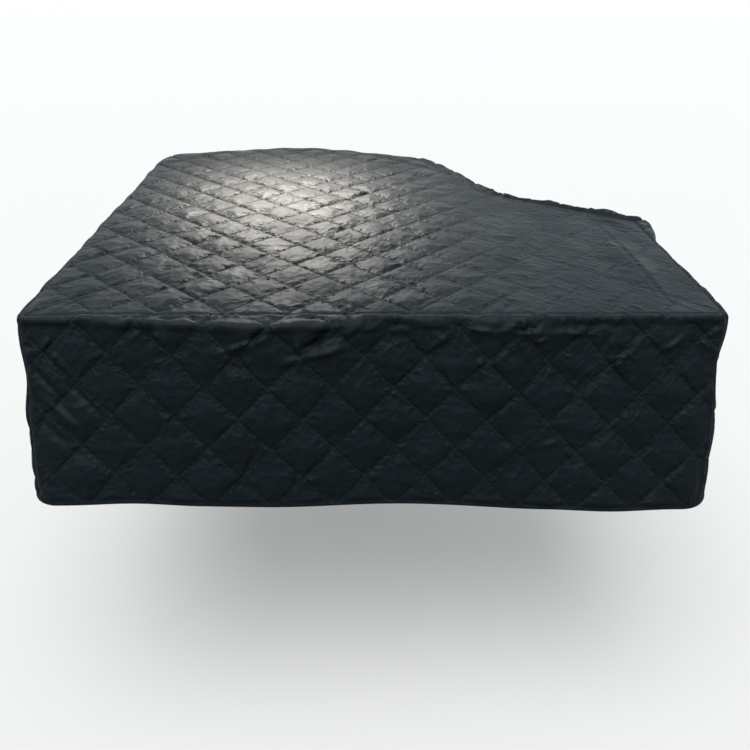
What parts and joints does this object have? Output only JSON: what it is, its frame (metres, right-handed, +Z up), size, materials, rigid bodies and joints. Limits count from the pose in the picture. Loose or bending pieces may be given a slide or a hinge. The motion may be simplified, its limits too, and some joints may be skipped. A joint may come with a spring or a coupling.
{
  "type": "grand piano cover",
  "caption": "Quilted dust cover for a closed baby grand piano: a shaped top with a skirt all round, hollow and open below.",
  "frame": {"origin": "middle of the piano lid that the top lies on, on the underside of the cloth", "axes": "+X to the treble side, along the keyboard; +Y from the keyboard to the tail; +Z up"},
  "size_m": [1.6172, 1.7055, 0.431],
  "materials": {
    "quilted_cloth": "satin quilted nylon, black with a slate sheen"
  },
  "bodies": {
    "root": {"top_panel": "quilted_cloth", "front_skirt": "quilted_cloth", "cheek_skirt": "quilted_cloth", "bentside_skirt": "quilted_cloth", "tail_skirt": "quilted_cloth", "spine_skirt": "quilted_cloth"}
  },
  "joints": []
}
